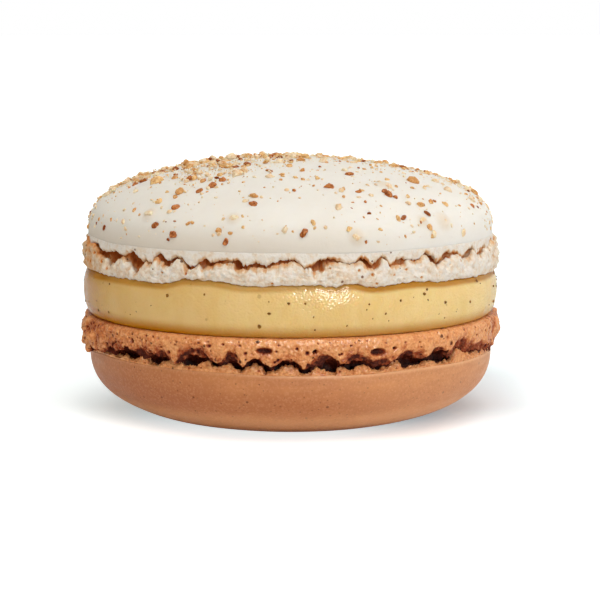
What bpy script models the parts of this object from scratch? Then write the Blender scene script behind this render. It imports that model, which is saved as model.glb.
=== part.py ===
"""A filled French macaron: a white almond shell on a custard filling on a caramel shell.

Each shell is one baked piece: a smooth cap, a crack under the cap's lip, and the ruffled foot
that rose out of it. The upper shell stands on its foot and the lower one lies cap down on a
small flat spot. Units are metres, +Z is up and the origin is the middle of that flat spot.
"""

import math

import bpy
import numpy as np

MM = 0.001

SEGMENTS = 96  # steps round every turned piece
GAP = 0.3 * MM  # left between touching pieces

# Sizes seen from a shell's own foot, whose flat side is height 0, up to the cap's crown.
UPPER_SHELL = {
    "height": 11.4 * MM,
    "lip_radius": 22.05 * MM,
    "lip_height": 3.7 * MM,  # where the cap is widest
    "crown_flat_radius": 0.0,  # a full dome
    "crown_power": 1.75,  # how fast the dome leaves its crown
    "side_power": 2.65,  # how upright the dome stands at its lip
    "foot_radius": 22.4 * MM,
    "foot_height": 2.6 * MM,
    "crack_height": 0.5 * MM,
    "crack_depth": 1.3 * MM,
    "foot_waves": ((7, 0.14, 0.4), (17, 0.12, 2.1), (29, 0.10, 4.4)),
    "crack_waves": ((9, 0.30, 1.3), (23, 0.22, 0.2)),
    "hem_waves": ((8, 0.14, 2.9), (19, 0.12, 1.1)),
}
LOWER_SHELL = {
    "height": 11.45 * MM,
    "lip_radius": 22.0 * MM,
    "lip_height": 3.8 * MM,
    "crown_flat_radius": 10.0 * MM,  # the spot that the macaron stands on
    "crown_power": 1.9,
    "side_power": 2.5,
    "foot_radius": 22.65 * MM,
    "foot_height": 2.6 * MM,
    "crack_height": 0.9 * MM,
    "crack_depth": 1.6 * MM,
    "foot_waves": ((6, 0.10, 1.7), (15, 0.09, 5.2), (26, 0.10, 0.6)),
    "crack_waves": ((11, 0.38, 3.3), (27, 0.28, 2.2)),
    "hem_waves": ((7, 0.05, 0.8), (18, 0.05, 3.6)),
}

FLAT_SHARE = 0.8  # of the foot's radius, inside which a shell's flat side stays true

FILLING_HEIGHT = 4.6 * MM
FILLING_RADIUS = 22.55 * MM
FILLING_EDGE_RADIUS = 21.3 * MM  # where the bulge leaves the flat faces
FILLING_WAVES = ((3, 0.06, 0.5), (5, 0.05, 2.4), (9, 0.03, 4.0))

CAP_STEPS = 9  # profile points on the dome
BULGE_STEPS = 7  # profile points on the filling's side

LOOKS = {
    "white_shell": ((0.86, 0.82, 0.74), 0.5),
    "custard": ((0.76, 0.52, 0.20), 0.4),
    "caramel_shell": ((0.56, 0.25, 0.11), 0.5),
}


def clear_scene():
    for obj in list(bpy.data.objects):
        bpy.data.objects.remove(obj, do_unlink=True)


def new_collection(name):
    collection = bpy.data.collections.new(name)
    bpy.context.scene.collection.children.link(collection)
    return collection


def material(name):
    colour, roughness = LOOKS[name]
    made = bpy.data.materials.new(name)
    made.use_nodes = True
    shader = made.node_tree.nodes["Principled BSDF"]
    shader.inputs["Base Color"].default_value = (*colour, 1.0)
    shader.inputs["Roughness"].default_value = roughness
    shader.inputs["Metallic"].default_value = 0.0
    return made


def waves(angle, terms):
    """Sum of sines round the ring; each term is (count, size in mm, phase)."""
    return sum(size * MM * np.sin(count * angle + phase) for count, size, phase in terms)


def hump(height, low, high):
    """0 outside low..high, rising smoothly to 1 halfway between them."""
    share = np.clip((height - low) / (high - low), 0.0, 1.0)
    return np.sin(math.pi * share) ** 2


def dome(size):
    """Cap outline from the crown down to its widest ring: a rounded, slightly boxy arc."""
    flat = size["crown_flat_radius"]
    reach = size["lip_radius"] - flat
    rise = size["height"] - size["lip_height"]
    points = [] if flat == 0.0 else [(0.0, size["height"])]
    for step in range(CAP_STEPS + 1):
        turn = 0.5 * math.pi * step / CAP_STEPS
        radius = flat + reach * math.sin(turn) ** (2.0 / size["crown_power"])
        height = size["lip_height"] + rise * math.cos(turn) ** (2.0 / size["side_power"])
        points.append((radius, height))
    return points


def shell_profile(size):
    """(radius, height) from the crown, over the lip, through the crack and round the foot."""
    lip, foot = size["lip_radius"], size["foot_radius"]
    crack_top = size["foot_height"] + size["crack_height"]
    crack_floor = lip - size["crack_depth"]
    return [
        *dome(size),
        (lip - 0.15 * MM, crack_top + 0.10 * MM),  # rolled under edge of the lip
        (lip - 0.60 * MM, crack_top),
        (crack_floor, crack_top - 0.10 * MM),
        (crack_floor, size["foot_height"]),
        (foot - 0.75 * MM, size["foot_height"] - 0.10 * MM),  # shoulder of the foot
        (foot - 0.15 * MM, 0.72 * size["foot_height"]),
        (foot, 0.42 * size["foot_height"]),
        (foot - 0.25 * MM, 0.15 * size["foot_height"]),
        (foot - 0.85 * MM, 0.0),  # hem that lay on the baking sheet
        (FLAT_SHARE * foot, 0.0),
        (0.0, 0.0),
    ]


def turned(name, profile):
    """Closed mesh of a profile turned about Z, given from its top down its outer side."""
    sketch = bpy.data.meshes.new(name + "_profile")
    edges = [(i, i + 1) for i in range(len(profile) - 1)]
    sketch.from_pydata([(radius, 0.0, height) for radius, height in profile], edges, [])
    obj = bpy.data.objects.new(name, sketch)
    bpy.context.scene.collection.objects.link(obj)
    screw = obj.modifiers.new("Turn", "SCREW")
    screw.axis = "Z"
    screw.angle = 2.0 * math.pi
    screw.steps = screw.render_steps = SEGMENTS
    screw.use_merge_vertices = True
    screw.merge_threshold = 0.00001
    graph = bpy.context.evaluated_depsgraph_get()
    mesh = bpy.data.meshes.new_from_object(obj.evaluated_get(graph))
    bpy.data.objects.remove(obj)
    bpy.data.meshes.remove(sketch)
    return mesh


def ruffle_shell(mesh, size, upside_down):
    """Waves the foot in and out, the crack deeper and shallower, and the hem up and down."""
    at = np.empty(len(mesh.vertices) * 3)
    mesh.vertices.foreach_get("co", at)
    at = at.reshape(-1, 3)
    angle = np.arctan2(at[:, 1], at[:, 0])
    radius = np.hypot(at[:, 0], at[:, 1])
    height = size["height"] - at[:, 2] if upside_down else at[:, 2]
    foot_top = size["foot_height"]
    lip_low = foot_top + size["crack_height"] + 0.2 * MM
    outer = np.clip((radius - FLAT_SHARE * size["foot_radius"]) / (2.0 * MM), 0.0, 1.0)
    push = waves(angle, size["foot_waves"]) * hump(height, -0.6 * MM, foot_top)
    push = push + waves(angle, size["crack_waves"]) * hump(height, 0.9 * foot_top, lip_low)
    hem = waves(angle, size["hem_waves"]) * outer * hump(height, -1.0 * MM, foot_top)
    at[:, :2] *= (1.0 + push * outer / np.maximum(radius, MM))[:, None]
    at[:, 2] += -hem if upside_down else hem
    mesh.vertices.foreach_set("co", at.ravel())
    mesh.update()


def finish(name, mesh, look, height, collection):
    mesh.shade_smooth()
    mesh.set_sharp_from_angle(angle=math.radians(50.0))
    mesh.materials.append(material(look))
    obj = bpy.data.objects.new(name, mesh)
    obj.location.z = height
    collection.objects.link(obj)
    return obj


def lower_shell(collection):
    profile = [(radius, LOWER_SHELL["height"] - height) for radius, height in shell_profile(LOWER_SHELL)]
    mesh = turned("bottom_shell", profile[::-1])
    ruffle_shell(mesh, LOWER_SHELL, upside_down=True)
    return finish("bottom_shell", mesh, "caramel_shell", 0.0, collection)


def filling(collection):
    """A flat disc of custard whose side is squeezed out into a bulge."""
    reach = FILLING_RADIUS - FILLING_EDGE_RADIUS
    half = 0.5 * FILLING_HEIGHT
    profile = [(0.0, FILLING_HEIGHT)]
    for step in range(BULGE_STEPS + 1):
        turn = math.pi * step / BULGE_STEPS
        radius = FILLING_EDGE_RADIUS + reach * math.sin(turn) ** 0.8
        profile.append((radius, half + half * math.cos(turn)))
    profile.append((0.0, 0.0))
    mesh = turned("filling", profile)
    at = np.empty(len(mesh.vertices) * 3)
    mesh.vertices.foreach_get("co", at)
    at = at.reshape(-1, 3)
    angle = np.arctan2(at[:, 1], at[:, 0])
    swell = waves(angle, FILLING_WAVES) * hump(at[:, 2], 0.0, FILLING_HEIGHT)
    at[:, :2] *= (1.0 + swell / FILLING_RADIUS)[:, None]
    mesh.vertices.foreach_set("co", at.ravel())
    mesh.update()
    return finish("filling", mesh, "custard", LOWER_SHELL["height"] + GAP, collection)


def upper_shell(collection):
    mesh = turned("top_shell", shell_profile(UPPER_SHELL))
    ruffle_shell(mesh, UPPER_SHELL, upside_down=False)
    height = LOWER_SHELL["height"] + FILLING_HEIGHT + 2.0 * GAP
    return finish("top_shell", mesh, "white_shell", height, collection)


def main():
    clear_scene()
    macaron = new_collection("macaron")
    lower_shell(macaron)
    filling(macaron)
    upper_shell(macaron)


main()
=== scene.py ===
import itertools
import math

import bmesh
import bpy
import numpy as np
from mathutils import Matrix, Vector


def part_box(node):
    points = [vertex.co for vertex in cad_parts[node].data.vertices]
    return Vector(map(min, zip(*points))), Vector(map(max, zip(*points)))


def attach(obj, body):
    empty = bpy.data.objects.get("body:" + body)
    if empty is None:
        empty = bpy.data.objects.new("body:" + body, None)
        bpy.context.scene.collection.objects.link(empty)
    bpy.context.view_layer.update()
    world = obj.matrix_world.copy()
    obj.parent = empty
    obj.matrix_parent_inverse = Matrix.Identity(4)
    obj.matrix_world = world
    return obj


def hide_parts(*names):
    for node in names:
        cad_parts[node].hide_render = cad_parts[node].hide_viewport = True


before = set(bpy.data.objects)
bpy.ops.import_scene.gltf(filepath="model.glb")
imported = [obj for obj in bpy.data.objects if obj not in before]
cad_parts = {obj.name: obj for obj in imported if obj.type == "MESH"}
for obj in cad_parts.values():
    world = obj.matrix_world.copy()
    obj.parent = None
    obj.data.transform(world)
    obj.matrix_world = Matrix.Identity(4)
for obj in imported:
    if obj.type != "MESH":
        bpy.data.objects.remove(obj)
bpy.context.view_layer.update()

mm = 0.001  # sizes are in millimetres unless a note says otherwise
fullTurn = 2 * math.pi
ringRadius = 22.0  # where a pattern that runs round the macaron is laid out


def heights(node):  # the lowest and the highest point of a CAD node
    low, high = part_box(node)
    return low.z / mm, high.z / mm


_, lowerTop = heights("bottom_shell")
fillBottom, fillTop = heights("filling")
upperBottom, upperTop = heights("top_shell")


def ease(x, low, high):  # 0 at low, 1 at high and an S curve between them, whichever is the smaller
    t = np.clip((x - low) / (high - low), 0, 1)
    return t * t * (3 - 2 * t)


def scramble(cell, seed):  # whole-number lattice cells to one 30-bit number each, by multiplying and folding
    h = (cell @ np.array((374761393, 668265263, 1274126177)) + seed * 974634777) & 0xFFFFFFFF
    h = ((h ^ (h >> 13)) * 1274126177) & 0xFFFFFFFF
    h = ((h ^ (h >> 16)) * 1103515245) & 0xFFFFFFFF
    return (h ^ (h >> 15)) & 0x3FFFFFFF


def threeNumbers(h):  # three numbers from 0 to 1 out of each 30-bit one
    return np.stack([(h >> shift) & 1023 for shift in (0, 10, 20)], -1) / 1023


def softNoise(points, size, seed):
    # a random slope at every corner of a lattice, blended by 6t^5 - 15t^4 + 10t^3: about -1 to 1
    at = points / size
    base = np.floor(at).astype(np.int64)
    part = at - base
    blend = part ** 3 * (part * (part * 6 - 15) + 10)
    total = np.zeros(points.shape[:-1])
    for corner in itertools.product((0, 1), repeat=3):
        slope = threeNumbers(scramble(base + corner, seed)) * 2 - 1
        share = np.prod(np.where(np.array(corner) == 1, blend, 1 - blend), -1)
        total += share * np.sum(slope * (part - corner), -1)
    return total * 1.7


def rough(points, size, seed, layers=4, fade=0.5):  # layers of soft noise, each half as big as the last
    total = np.zeros(points.shape[:-1])
    for layer in range(layers):
        total += fade ** layer * softNoise(points, size / 2 ** layer, seed + layer)
    return total


def cellNoise(points, size, seed, flat=False):
    # one random point in every lattice cell: distances to the nearest and the next, and the nearest's number
    at = points / size
    base = np.floor(at).astype(np.int64)
    part = at - base
    nearest = np.full(points.shape[:-1], 9.0)
    second = nearest.copy()
    owner = np.zeros(points.shape[:-1])
    for step in itertools.product((-1, 0, 1), (-1, 0, 1), (0,) if flat else (-1, 0, 1)):
        h = scramble(base + step, seed)
        gap = threeNumbers(h) + step - part
        gap = np.linalg.norm(gap[..., :2] if flat else gap, axis=-1)
        second = np.minimum(second, np.maximum(nearest, gap))
        owner = np.where(gap < nearest, (h % 1009) / 1009, owner)
        nearest = np.minimum(nearest, gap)
    return nearest, second, owner


def polar(radius, turn, height):  # places at a radius, an angle from the front and a height
    return np.stack(np.broadcast_arrays(radius * np.sin(turn), -radius * np.cos(turn), height), -1)


def ringAngles(steps):  # a column of angles round the axis, 0 at the front and growing to the right
    return np.arange(steps)[:, None] * fullTurn / steps - math.pi


def ringRough(angles, size, seed, layers=4, fade=0.5):  # rough noise read on a circle, so that it closes
    return rough(polar(ringRadius, angles, 0), size, seed, layers, fade)


def unrolled(points):  # a ring of places laid out flat: (way round, height, 0)
    turn = np.arctan2(points[..., 0], -points[..., 1])
    return np.stack([ringRadius * turn, points[..., 2], 0 * turn], -1)


def pores(points, size, seed, share, radius):
    # round pits in a share of the cells of a lattice laid round the ring: 1 at a pit's middle, 0 outside it
    nearest, _, owner = cellNoise(unrolled(points), size, seed, flat=True)
    wide = radius / size * (0.5 + 0.5 * (owner * 37 % 1))
    return np.where(owner < share, np.clip(1 - (nearest / wide) ** 2, 0, 1), 0)


def pitsAt(points, places):
    # the same pits at chosen places, each (degrees from the front, height, half width, half height)
    flat = unrolled(points)
    total = np.zeros(points.shape[:-1])
    for middle, height, wide, tall in places:
        across = (flat[..., 0] - ringRadius * math.radians(middle)) / wide
        total = np.maximum(total, np.clip(1 - across ** 2 - ((flat[..., 1] - height) / tall) ** 2, 0, 1))
    return total


def windows(angles, places):  # a bump (1 - t^2)^2 at each (degrees from the front, half width, height)
    total = np.zeros(angles.shape)
    for middle, half, height in places:
        away = (np.degrees(angles) - middle + 180) % 360 - 180
        total += height * np.clip(1 - (away / half) ** 2, 0, 1) ** 2
    return total


def findStretch(degrees, start):  # degrees counted on from the first start, and the stretch each falls in
    degrees = (degrees - start[0]) % 360 + start[0]
    return degrees, np.clip(np.searchsorted(start, degrees, side="right") - 1, 0, len(start) - 2)


def arcLine(angles, given, tips, tops, widths, seed, lean=1.0, bluntness=(0.5, 1.1), warp=0.9):
    # Arcs side by side, as a height for every angle. Each is (degrees, height where it starts, height at its
    # middle); random ones carry on round the back. Between two starts t runs 0 to 1 and the arc is
    # sin(pi t^lean)^2p: its tips are sharp at p = 0.5 and round at p = 1. The warp is in degrees.
    dice = np.random.default_rng(seed)
    arcs = list(given)
    while arcs[-1][0] < given[0][0] + 360 - 1.5 * widths[1]:
        arcs.append((arcs[-1][0] + dice.uniform(*widths), dice.uniform(*tips), dice.uniform(*tops)))
    arcs.append((given[0][0] + 360, *given[0][1:]))
    start, tip, top = np.array(arcs).T
    power = dice.uniform(*bluntness, len(arcs))
    bent, cell = findStretch(np.degrees(angles) + warp * ringRough(angles, 1.6, seed + 1, 3, 0.7), start)
    share = (bent - start[cell]) / (start[cell + 1] - start[cell])
    line = tip[cell] * (1 - share) + tip[cell + 1] * share
    return line + (top[cell] - line) * np.abs(np.sin(math.pi * share ** lean)) ** (2 * power[cell])


def waveLine(angles, places):  # a soft line through (degrees from the front, height), closed round the back
    at, height = np.array([*places, (places[0][0] + 360, places[0][1])]).T
    degrees, cell = findStretch(np.degrees(angles), at)
    share = ease(degrees, at[cell], at[cell + 1])
    return height[cell] * (1 - share) + height[cell + 1] * share


def carryProfile(angles, cage, rows, closed=True):
    # A cubic B-spline on a cage of (radius, height) points, each a number or a column, one for every angle,
    # turned about the axis: an angle by row grid of places. An open one ends on its first and last point.
    cage = [np.stack(np.broadcast_arrays(radius, height, angles)[:2], -1) for radius, height in cage]
    if not closed:
        cage = [2 * cage[0] - cage[1], *cage, 2 * cage[-1] - cage[-2]]
    strips = []
    for k, count in enumerate(rows):
        t = (np.arange(count) / count)[:, None]
        a, b, c, d = (cage[(k + i) % len(cage)] for i in range(4))
        strips.append(((1 - t) ** 3 * a + (3 * t ** 3 - 6 * t ** 2 + 4) * b
                       + (1 + 3 * t + 3 * t ** 2 - 3 * t ** 3) * c + t ** 3 * d) / 6)
    if not closed:
        strips.append(cage[-2])
    radius, height = np.moveaxis(np.concatenate(strips, 1), -1, 0)
    return polar(radius, angles, height)


def gridNormals(points, closed=True):  # unit normals from the slopes along both directions of the grid
    along = np.roll(points, -1, 0) - np.roll(points, 1, 0)
    across = np.roll(points, -1, 1) - np.roll(points, 1, 1) if closed else np.gradient(points, axis=1)
    normal = np.cross(across, along)
    return normal / np.maximum(np.linalg.norm(normal, axis=-1, keepdims=True), 1e-9)


def pushOut(points, lift, closed=True):  # every place moved along its normal
    return points + gridNormals(points, closed) * lift[..., None]


def hollows(points, times, most=0.2):  # how far each place lies below its surroundings, averaged many times
    level = points
    for _ in range(times):
        for axis in (0, 1):
            level = (level + np.roll(level, 1, axis) + np.roll(level, -1, axis)) / 3
    return np.clip(np.sum((level - points) * gridNormals(points), -1), 0, most)


def radiusOf(points):
    return np.hypot(points[..., 0], points[..., 1])


def evenProfile(radius, height, rows):  # an outline read again at equal steps of its length
    length = np.append(0, np.cumsum(np.hypot(np.diff(radius), np.diff(height))))
    at = np.linspace(0, length[-1], rows)
    return np.interp(at, length, radius), np.interp(at, length, height)


def toScene(name, data):
    made = bpy.data.objects.new(name, data)
    bpy.context.scene.collection.objects.link(made)
    return made


def addMesh(name, points, faces, masks, smooth=True):  # masks are values that the mesh carries
    mesh = bpy.data.meshes.new(name)
    mesh.from_pydata(points * mm, [], faces)
    for maskName, values in masks.items():
        layer = mesh.attributes.new(maskName, "FLOAT", "POINT")
        layer.data.foreach_set("value", values.astype(np.float32).ravel())
    if smooth:
        mesh.shade_smooth()
    print(f"{name}: {len(points)} points, {len(faces)} faces")
    return toScene(name, mesh)


def gridPiece(name, points, masks, closed=True):
    # Quads between neighbouring places of the grid. A closed grid joins its last row to its first;
    # an open one starts and ends on the axis, where each end row is one point.
    number = np.arange(points[..., 0].size).reshape(points.shape[:2])
    if not closed:
        number[:, 0], number[:, -1] = number[0, 0], number[0, -1]
    right = np.roll(number, -1, 0)
    if closed:
        sets = [np.stack([number, np.roll(number, -1, 1), np.roll(right, -1, 1), right], -1)]
    else:
        sets = [
            np.stack([number[:, 1:-2], number[:, 2:-1], right[:, 2:-1], right[:, 1:-2]], -1),
            np.stack([number[:, 0], number[:, 1], right[:, 1]], -1),
            np.stack([number[:, -1], right[:, -2], number[:, -2]], -1),
        ]
    used = np.unique(number)
    place = np.zeros(number.size, int)
    place[used] = np.arange(len(used))
    faces = [face for group in sets for face in place[group].reshape(-1, group.shape[-1]).tolist()]
    masks = {key: mask.reshape(-1)[used] for key, mask in masks.items()}
    return addMesh(name, points.reshape(-1, 3)[used], faces, masks)


def finishPiece(piece, material, node=None):
    piece.data.materials.append(material)
    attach(piece, "root")
    if node:
        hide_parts(node)


def rgb(red, green, blue):  # a screen colour from 0 to 255 as the linear one that a shader takes
    return (*(((value / 255 + 0.055) / 1.055) ** 2.4 for value in (red, green, blue)), 1)


class Wires:  # adds shader nodes to one tree; what goes in is a number, a colour or another node's output
    def __init__(self, tree):
        self.tree = tree

    def plug(self, value, socket):
        if isinstance(value, bpy.types.NodeSocket):
            self.tree.links.new(value, socket)
        else:
            socket.default_value = value

    def add(self, kind, inputs=None, **settings):
        node = self.tree.nodes.new("ShaderNode" + kind)
        for key, value in settings.items():
            setattr(node, key, value)
        for key, value in (inputs or {}).items():
            self.plug(value, node.inputs[key])
        return node

    def maths(self, operation, first, second, clamp=False):
        return self.add("Math", {0: first, 1: second}, operation=operation, use_clamp=clamp).outputs[0]

    def times(self, first, second):
        return self.maths("MULTIPLY", first, second)

    def plus(self, first, second, clamp=False):
        return self.maths("ADD", first, second, clamp)

    def less(self, first, second):
        return self.maths("SUBTRACT", first, second)

    def over(self, first, second):
        return self.maths("DIVIDE", first, second)

    def spread(self, value, low, high, newLow=0, newHigh=1):  # low to newLow, high to newHigh
        inputs = {"Value": value, "From Min": low, "From Max": high, "To Min": newLow, "To Max": newHigh}
        return self.add("MapRange", inputs, interpolation_type="SMOOTHSTEP").outputs["Result"]

    def between(self, share, low, high):  # a share from 0 to 1 turned into a value from low to high
        return self.spread(share, 0, 1, low, high)

    def mix(self, share, first, second):
        return self.add("Mix", {0: share, 6: first, 7: second}, data_type="RGBA").outputs[2]

    def shrink(self, vector, size):  # a place divided by a size
        inputs = {0: vector, "Scale": self.over(1, size)}
        return self.add("VectorMath", inputs, operation="SCALE").outputs[0]

    def noise(self, vector, scale, detail, roughness):
        inputs = {"Vector": vector, "Scale": scale, "Detail": detail, "Roughness": roughness}
        return self.add("TexNoise", inputs).outputs[0]

    def cells(self, vector, scale, feature="F1"):
        return self.add("TexVoronoi", {"Vector": vector, "Scale": scale}, feature=feature).outputs


def newGroup(name, values, output):  # a node group that takes a vector and some numbers and gives one value
    tree = bpy.data.node_groups.new(name, "ShaderNodeTree")
    tree.interface.new_socket("Vector", in_out="INPUT", socket_type="NodeSocketVector")
    for key, value in values.items():
        tree.interface.new_socket(key, in_out="INPUT", socket_type="NodeSocketFloat").default_value = value
    tree.interface.new_socket(output, in_out="OUTPUT", socket_type="NodeSocketFloat")
    return Wires(tree), tree.nodes.new("NodeGroupInput").outputs, tree.nodes.new("NodeGroupOutput").inputs[0]


def makePatches():  # soft cloudy patches of about Size, 0 to 1
    group, given, result = newGroup("cloudyPatches", {"Size": 2, "Stretch": 1}, "Patches")
    scaled = group.shrink(given["Vector"], given["Size"])
    stretch = group.add("CombineXYZ", {0: 1, 1: 1, 2: given["Stretch"]}).outputs[0]
    scaled = group.add("VectorMath", {0: scaled, 1: stretch}, operation="MULTIPLY").outputs[0]
    group.plug(group.spread(group.noise(scaled, 1, 4, 0.6), 0.3, 0.7), result)
    return group.tree


def makeSpecks():  # round dots in a Share of the cells of a lattice about Spacing wide: 1 on a dot, else 0
    values = {"Spacing": 1, "Radius": 0.1, "Share": 0.5}
    group, given, result = newGroup("scatteredSpecks", values, "Specks")
    cells = group.cells(group.shrink(given["Vector"], given["Spacing"]), 1)
    numbers = group.add("SeparateColor", {0: cells["Color"]}).outputs
    radius = group.over(group.times(given["Radius"], group.plus(0.4, numbers[1])), given["Spacing"])
    inside = group.spread(group.over(cells["Distance"], radius), 1, 0.55)
    chosen = group.maths("LESS_THAN", numbers[0], given["Share"])
    group.plug(group.times(inside, chosen), result)
    return group.tree


def makeGrain():  # the sandy skin of baked meringue: packed grains of about Size with rough noise over them
    group, given, result = newGroup("sandyGrain", {"Size": 0.3}, "Height")
    scaled = group.shrink(given["Vector"], given["Size"])
    grains = group.cells(scaled, 1, "SMOOTH_F1")["Distance"]
    group.plug(group.plus(group.times(grains, -0.6), group.noise(scaled, 1.7, 3, 0.65)), result)
    return group.tree


cloudyPatches, scatteredSpecks, sandyGrain = makePatches(), makeSpecks(), makeGrain()


class Look(Wires):  # a material, its Principled shader's inputs, and object coordinates in millimetres
    def __init__(self, name, values, gloss):  # its "subsurface" is (weight, reach of each colour, depth)
        self.values = values
        self.material = bpy.data.materials.new(name)
        self.material.use_nodes = True
        super().__init__(self.material.node_tree)
        self.shader = self.tree.nodes["Principled BSDF"].inputs
        weight, reach, depth = values["subsurface"]
        self.shader["Subsurface Weight"].default_value = weight
        self.shader["Subsurface Radius"].default_value = reach
        self.shader["Subsurface Scale"].default_value = depth * mm
        self.shader["Specular IOR Level"].default_value = gloss
        place = self.add("TexCoord").outputs["Object"]
        self.place = self.add("Mapping", {"Vector": place, "Scale": (1 / mm, 1 / mm, 1 / mm)}).outputs[0]

    def pattern(self, group, **values):
        return self.add("Group", {"Vector": self.place, **values}, node_tree=group).outputs[0]

    def patches(self, size, stretch=1):
        return self.pattern(cloudyPatches, Size=size, Stretch=stretch)

    def specks(self, spacing, radius, share):
        return self.pattern(scatteredSpecks, Spacing=spacing, Radius=radius, Share=share)

    def grain(self, size):
        return self.pattern(sandyGrain, Size=size)

    def beads(self, scale):  # round cells with steep edges, which break a shine into sparkles
        distance = self.cells(self.place, scale, "SMOOTH_F1")["Distance"]
        return self.times(distance, distance)

    def mask(self, name):  # a value that the mesh carries
        return self.add("Attribute", attribute_name=name).outputs["Fac"]

    def ramp(self, value, stops):
        node = self.add("ValToRGB", {0: value})
        while len(node.color_ramp.elements) < len(stops):
            node.color_ramp.elements.new(0.5)
        for element, (place, colour) in zip(node.color_ramp.elements, stops):
            element.position, element.color = place, colour
        return node.outputs["Color"]

    def paint(self, colour, coats):  # coats are (where, how much, name of its colour), one on top of another
        for where, much, tint in coats:
            colour = self.mix(self.times(where, much), colour, self.values[tint])
        return colour

    def finish(self, colour, roughness, bumps):  # bumps are (height, its full depth), one on top of another
        self.plug(colour, self.shader["Base Color"])
        self.plug(roughness, self.shader["Roughness"])
        normal = {}
        for height, depth in bumps:
            inputs = {"Height": height, "Distance": depth * mm, "Strength": 1, **normal}
            normal = {"Normal": self.add("Bump", inputs).outputs[0]}
        self.plug(normal["Normal"], self.shader["Normal"])
        return self.material


whiteGlaze = {
    "colour": rgb(238, 234, 225), "cloud": rgb(230, 222, 208), "nutStain": rgb(222, 190, 146),
    # painted shade: the colour under the dome's low mask, darker towards the ledge and on the left side
    "edge": rgb(216, 203, 185),  # low on the dome
    "subsurface": (0.35, (1, 0.85, 0.65), 0.9),
}


def makeWhiteGlaze():
    look = Look("whiteGlaze", whiteGlaze, 0.06)
    patches = look.patches(5)
    # the low mask paints shade on the dome's lower part, most on the left
    colour = look.paint(whiteGlaze["colour"], [
        (patches, 0.35, "cloud"), (look.specks(1.6, 0.12, 0.4), 0.5, "nutStain"),
        (look.mask("low"), 1, "edge"), (look.mask("stain"), 1, "nutStain"),
    ])
    bumps = [(look.patches(2.2), 0.02), (look.grain(0.35), 0.006)]
    return look.finish(colour, look.between(patches, 0.58, 0.7), bumps)


def toastAndShadeShare(look, blotches):  # how toasted, with painted shade: the mesh's mask with blotches over it, each (size, amount)
    share = look.mask("toastAndShade")
    for size, amount in blotches:
        blotch = look.patches(size)
        share = look.plus(share, look.times(look.less(blotch, 0.5), amount), clamp=True)
    return share, blotch


whiteFoot = {
    # toasting ramp that also paints shade: pale face, then browns in the crack, hollows and pits
    "toastAndShadeRamp": [(0, rgb(237, 229, 217)), (0.12, rgb(232, 216, 195)), (0.28, rgb(220, 186, 148)),
                 (0.48, rgb(216, 154, 98)), (0.72, rgb(202, 118, 52)), (1, rgb(168, 84, 26))],
    "speck": rgb(122, 74, 46),
    "subsurface": (0.25, (1, 0.75, 0.5), 0.6),
}


def makeWhiteFoot():
    look = Look("whiteFoot", whiteFoot, 0.12)
    toastAndShade, blotches = toastAndShadeShare(look, [(1.2, 0.18), (0.5, 0.15)])
    specks = look.specks(1, 0.17, 0.22)
    colour = look.paint(look.ramp(toastAndShade, whiteFoot["toastAndShadeRamp"]), [(specks, 0.9, "speck")])
    return look.finish(colour, look.between(blotches, 0.5, 0.75), [(look.grain(0.34), 0.09), (specks, -0.08)])


custardCream = {
    "colour": rgb(238, 210, 147), "deep": rgb(227, 187, 109), "speck": rgb(150, 104, 40),
    "creamShade": rgb(184, 120, 2),  # painted shade where it meets the two shells and towards the left side
    "subsurface": (0.6, (1, 0.55, 0.18), 1.2),
}


def makeCustard():
    look = Look("custardCream", custardCream, 0.13)
    patches = look.patches(3, stretch=0.5)
    colour = look.paint(custardCream["colour"], [
        (patches, 0.5, "deep"), (look.mask("creamShade"), 1, "creamShade"), (look.specks(1.7, 0.2, 0.5), 0.35, "speck"),
    ])
    return look.finish(colour, look.between(patches, 0.15, 0.22), [(patches, 0.015), (look.beads(5), -0.05)])


caramelFoot = {
    # toasted is partly toasting and partly painted shade under the face's edge and in hollows; the darkest
    # colour is painted shade deep in the crack and in the pores
    "lit": rgb(232, 160, 102), "main": rgb(210, 128, 74), "toasted": rgb(152, 64, 26),
    "dark": rgb(72, 20, 5), "grain": rgb(246, 188, 130),
    # pale grain tops are partly painted glints, and the darker gaps between grains are painted shade
    "paleGrainsAndGlints": 0.5, "gapShade": 0.3,  # how much of them shows
    "toastAndShadeRamp": [(0, "lit"), (0.22, "main"), (0.6, "toasted"), (1, "dark")],
    "subsurface": (0.15, (1, 0.5, 0.25), 0.5),
}


def makeCaramelFoot():
    look, values = Look("caramelFoot", caramelFoot, 0.16), caramelFoot
    toastAndShade, blotches = toastAndShadeShare(look, [(1.3, 0.22), (0.4, 0.18)])
    grain, specks = look.grain(0.32), look.specks(1.1, 0.2, 0.42)
    colour = look.ramp(toastAndShade, [(stop, values[key]) for stop, key in values["toastAndShadeRamp"]])
    pale = look.times(look.spread(grain, 0.2, 0.45), values["paleGrainsAndGlints"])
    # painted glints on pale grain tops, painted shade in the gaps between grains and in the pores
    colour = look.paint(colour, [
        (pale, look.less(1, toastAndShade), "grain"), (look.spread(grain, 0.2, 0), values["gapShade"], "toasted"),
        (specks, 0.9, "dark"),
    ])
    roughness = look.plus(look.between(blotches, 0.14, 0.32), look.spread(toastAndShade, 0.25, 0.8, 0, 0.65))
    return look.finish(colour, roughness, [(grain, 0.035), (look.beads(4), -0.1), (specks, -0.1)])


caramelGlaze = {
    # one colour serves darker random bands and painted shade; the grain colour also carries painted light
    "colour": rgb(208, 138, 84), "bandAndShade": rgb(184, 112, 68), "pepper": rgb(104, 50, 22),
    "grain": rgb(232, 172, 122),
    "subsurface": (0.2, (1, 0.5, 0.28), 0.6),
}


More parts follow.
